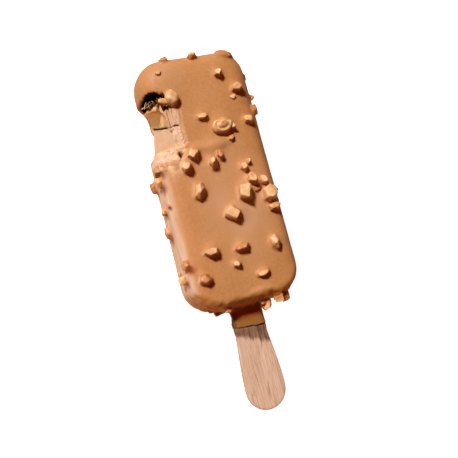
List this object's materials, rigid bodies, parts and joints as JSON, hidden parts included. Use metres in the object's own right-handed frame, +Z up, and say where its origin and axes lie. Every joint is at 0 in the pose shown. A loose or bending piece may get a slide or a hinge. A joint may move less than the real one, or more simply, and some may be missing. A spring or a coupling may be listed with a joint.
{
  "type": "ice cream bar",
  "caption": "Bitten ice cream bar with a nut-studded milk chocolate coating on a flat wooden stick, lying on its back as a dessert or table setting prop.",
  "frame": {"origin": "under the middle of the bounding box, on the surface the bar lies on", "axes": "+Z up out of the shown face, +Y from the stick towards the far end, +X to the right across the bar, so the bite is on the -X edge"},
  "size_m": [0.046, 0.1472, 0.0257],
  "materials": {
    "coating": "satin, soft sheen of milk chocolate",
    "ice_cream": "matte, slightly frosty caramel ice cream",
    "stick_wood": "matte, unvarnished fine-grained wood"
  },
  "bodies": {
    "root": {"coating": "coating", "ice_cream": "ice_cream", "stick": "stick_wood"}
  },
  "joints": []
}
